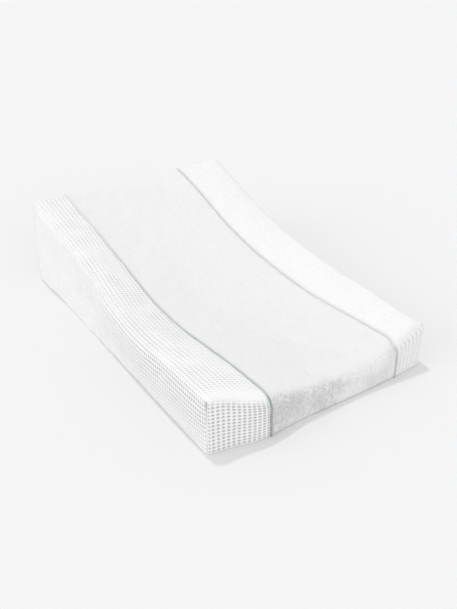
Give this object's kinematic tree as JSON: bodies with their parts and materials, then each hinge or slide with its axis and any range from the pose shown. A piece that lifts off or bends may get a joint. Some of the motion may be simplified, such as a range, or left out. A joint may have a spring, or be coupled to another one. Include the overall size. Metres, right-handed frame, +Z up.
{
  "type": "changing pad",
  "caption": "Contoured baby changing pad: raised head end, lying hollow, terry centre strip, waffle sides, contrast piping and a zipped cover over foam.",
  "frame": {"origin": "middle of the base, at the height of the surface that the pad rests on", "axes": "+Z up, +Y from the foot end towards the raised head end, +X towards the long side with the zip"},
  "size_m": [0.4661, 0.7124, 0.1837],
  "materials": {
    "foam": "open-cell polyurethane foam",
    "liner_film": "soft wipeable film",
    "terry": "white cotton terry",
    "waffle": "white honeycomb waffle weave",
    "base_cloth": "plain woven cloth",
    "cord_filler": "braided cotton cord",
    "piping": "plain woven bias tape, grey green",
    "zip_tape": "woven polyester tape",
    "zip_teeth": "moulded polyester",
    "zip_metal": "satin enamel"
  },
  "bodies": {
    "pad": {"foam_core": "foam", "liner_shell": "liner_film", "liner_base": "liner_film", "terry_centre_panel": "terry", "left_side_panel": "waffle", "right_side_panel": "waffle", "base_panel": "base_cloth", "left_piping_cord": "cord_filler", "right_piping_cord": "cord_filler", "left_piping_sleeve": "piping", "right_piping_sleeve": "piping", "left_piping_flange": "piping", "right_piping_flange": "piping", "zip_upper_tape": "zip_tape", "zip_lower_tape": "zip_tape", "zip_upper_teeth": "zip_teeth", "zip_lower_teeth": "zip_teeth", "zip_top_stops": "zip_teeth", "zip_bottom_stop": "zip_teeth"},
    "slider": {"zip_slider": "zip_metal"},
    "pull": {"zip_pull": "zip_metal"}
  },
  "joints": [
    {"name": "zip_slide", "type": "slide", "parent": "pad", "child": "slider", "axis": [0, 1, 0], "range_m": [0, 0.564]},
    {"name": "zip_pull_swing", "type": "hinge", "parent": "slider", "child": "pull", "pos_m": [0.2336, -0.2825, 0.016], "axis": [0, 0, -1], "range_deg": [0, 170]}
  ]
}
